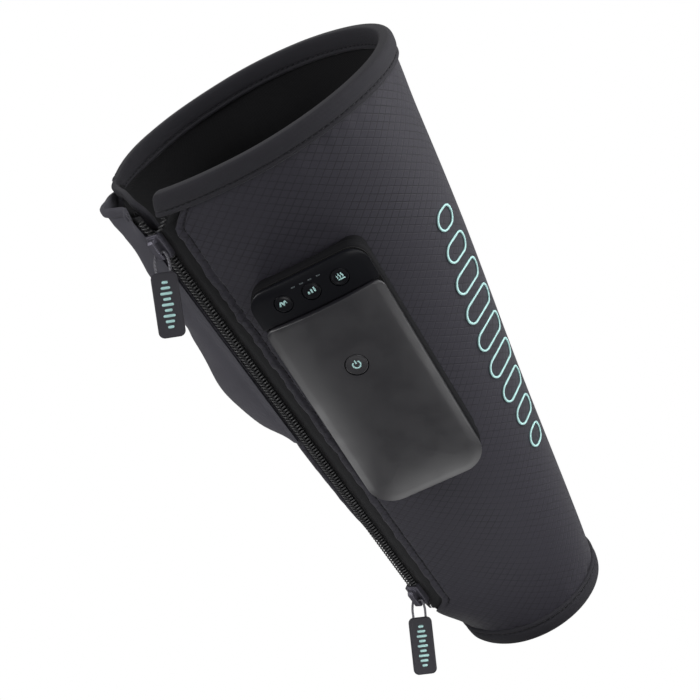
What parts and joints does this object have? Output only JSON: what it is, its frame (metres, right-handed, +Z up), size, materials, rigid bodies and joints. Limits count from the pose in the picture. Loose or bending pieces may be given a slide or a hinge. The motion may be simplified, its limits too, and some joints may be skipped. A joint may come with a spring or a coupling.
{
  "type": "air compression calf sleeve",
  "caption": "Tapered padded sleeve for air compression of the calf, open at both ends, with a side zip and a flat cordless pump box with push buttons on its front",
  "frame": {"origin": "On the surface that the sleeve stands on, under the middle of its bounding box.", "axes": "+Z up the leg from the ankle opening to the knee opening, -Y out of the shin, where the pump box is, and +X to the left of someone who looks out along -Y, so the zip lies towards -X."},
  "size_m": [0.1802, 0.146, 0.3645],
  "materials": {
    "ripstop_fabric": "woven ripstop textile, dark violet grey, slight sheen",
    "foam": "soft open foam, hidden between the fabrics",
    "lining_fabric": "matt black knit",
    "bladder_film": "coated textile, welded edges",
    "heater_film": "heating felt",
    "hose_rubber": "soft hose",
    "binding_tape": "matt grosgrain tape",
    "zip_tape": "woven zip tape",
    "zip_coil": "black nylon coil",
    "slider_metal": "gunmetal lacquer on cast metal",
    "pull_cord": "thin braided cord",
    "pull_tab": "moulded matt tab",
    "casing_plastic": "fine matt texture, dark grey",
    "gasket_rubber": "soft black seal",
    "gloss_panel": "glossy black with a blue tint",
    "light_guide": "frosted windows",
    "switch_metal": "pressed metal cap",
    "circuit_board": "green solder mask",
    "battery_film": "pouch cell film",
    "motor_steel": "drawn steel can",
    "inner_plastic": "natural moulded plastic",
    "valve_metal": "plated can",
    "socket_metal": "drawn shell",
    "screw_steel": "zinc plated"
  },
  "bodies": {
    "sleeve": {"outer_fabric": "ripstop_fabric", "foam_panel": "foam", "inner_lining": "lining_fabric", "lower_air_bladder": "bladder_film", "middle_air_bladder": "bladder_film", "upper_air_bladder": "bladder_film", "heating_pad": "heater_film", "upper_air_hose": "hose_rubber", "lower_air_hose": "hose_rubber", "top_binding": "binding_tape", "bottom_binding": "binding_tape", "zip_guard_flap": "lining_fabric", "gusset_panel": "ripstop_fabric", "gusset_binding": "binding_tape", "right_zip_tape": "zip_tape", "left_zip_tape": "zip_tape", "right_zip_coil": "zip_coil", "left_zip_coil": "zip_coil", "dock_plate": "casing_plastic", "rear_casing": "casing_plastic", "casing_gasket": "gasket_rubber", "front_cover": "casing_plastic", "control_panel": "gloss_panel", "light_guide": "light_guide", "mode_switch": "switch_metal", "intensity_switch": "switch_metal", "heat_switch": "switch_metal", "power_switch": "switch_metal", "circuit_board": "circuit_board", "battery": "battery_film", "pump_motor": "motor_steel", "pump_head": "inner_plastic", "air_valve_1": "valve_metal", "air_valve_2": "valve_metal", "air_valve_3": "valve_metal", "air_manifold": "inner_plastic", "air_connector": "inner_plastic", "charging_socket": "socket_metal", "casing_screw_1": "screw_steel", "casing_screw_2": "screw_steel", "casing_screw_3": "screw_steel", "casing_screw_4": "screw_steel"},
    "mode_key": {"mode_button": "gloss_panel"},
    "intensity_key": {"intensity_button": "gloss_panel"},
    "heat_key": {"heat_button": "gloss_panel"},
    "power_key": {"power_button": "casing_plastic"},
    "upper_zip_slider": {"upper_slider": "slider_metal"},
    "lower_zip_slider": {"lower_slider": "slider_metal"},
    "upper_pull": {"upper_pull_cord": "pull_cord", "upper_pull_tab": "pull_tab"},
    "lower_pull": {"lower_pull_cord": "pull_cord", "lower_pull_tab": "pull_tab"},
    "eccentric": {"pump_eccentric": "inner_plastic"}
  },
  "joints": [
    {"name": "mode_press", "type": "slide", "parent": "sleeve", "child": "mode_key", "axis": [0, 0.9985, 0.0555], "range_m": [0, 0.0008], "stiffness_N_per_m": 600},
    {"name": "intensity_press", "type": "slide", "parent": "sleeve", "child": "intensity_key", "axis": [0, 0.9985, 0.0555], "range_m": [0, 0.0008], "stiffness_N_per_m": 600},
    {"name": "heat_press", "type": "slide", "parent": "sleeve", "child": "heat_key", "axis": [0, 0.9985, 0.0555], "range_m": [0, 0.0008], "stiffness_N_per_m": 600},
    {"name": "power_press", "type": "slide", "parent": "sleeve", "child": "power_key", "axis": [0, 0.9985, 0.0555], "range_m": [0, 0.0008], "stiffness_N_per_m": 600},
    {"name": "upper_slider_run", "type": "slide", "parent": "sleeve", "child": "upper_zip_slider", "axis": [0.0341, 0.0656, -0.9973], "range_m": [0, 0.2]},
    {"name": "lower_slider_run", "type": "slide", "parent": "sleeve", "child": "lower_zip_slider", "axis": [0.0341, 0.0656, -0.9973], "range_m": [-0.2, 0]},
    {"name": "upper_pull_swing", "type": "hinge", "parent": "upper_zip_slider", "child": "upper_pull", "pos_m": [-0.06148, -0.04747, 0.3267], "axis": [-0.8767, 0.481, 0.0017], "range_deg": [-14, 95]},
    {"name": "lower_pull_swing", "type": "hinge", "parent": "lower_zip_slider", "child": "lower_pull", "pos_m": [-0.05213, -0.02946, 0.05316], "axis": [-0.8767, 0.481, 0.0017], "range_deg": [-18, 95]},
    {"name": "eccentric_spin", "type": "hinge", "parent": "sleeve", "child": "eccentric", "pos_m": [0.00332, -0.05946, 0.19677], "axis": [1, 0, 0], "continuous": true}
  ]
}
